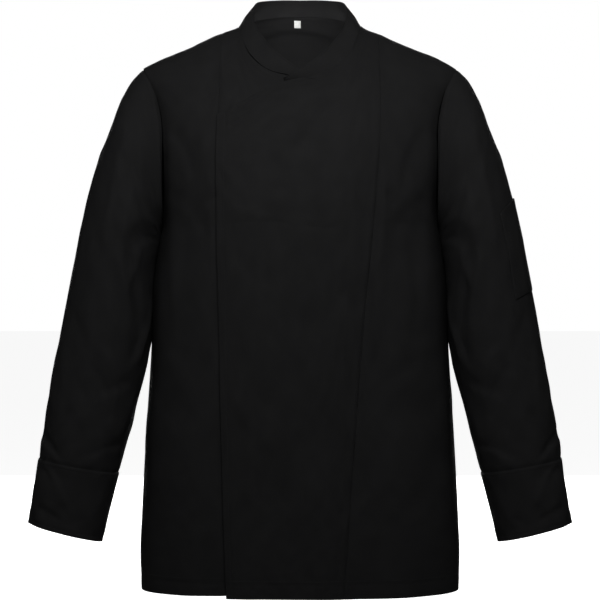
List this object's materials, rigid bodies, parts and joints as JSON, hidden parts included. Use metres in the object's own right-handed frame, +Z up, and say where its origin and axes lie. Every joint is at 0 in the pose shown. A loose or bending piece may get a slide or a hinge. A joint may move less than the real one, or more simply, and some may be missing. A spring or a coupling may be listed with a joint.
{
  "type": "chef jacket",
  "caption": "Long-sleeved black chef jacket, filled out as worn: band collar, wide front lap with a concealed closure, band cuffs and a sleeve pocket.",
  "frame": {"origin": "middle of the neck opening, level with the neck ends of the shoulder seams", "axes": "+Z up the wearer's body, -Y out of the front, +X towards the wearer's left"},
  "size_m": [0.73, 0.2641, 0.808],
  "materials": {
    "cloth": "matte twill",
    "label": "plain satin tape"
  },
  "bodies": {
    "root": {"back": "cloth", "front_left": "cloth", "side_front_left": "cloth", "side_front_right": "cloth", "front_right": "cloth", "sleeve_left": "cloth", "sleeve_right": "cloth", "cuff_left": "cloth", "cuff_right": "cloth", "collar": "cloth", "sleeve_pocket": "cloth", "neck_label": "label"}
  },
  "joints": []
}
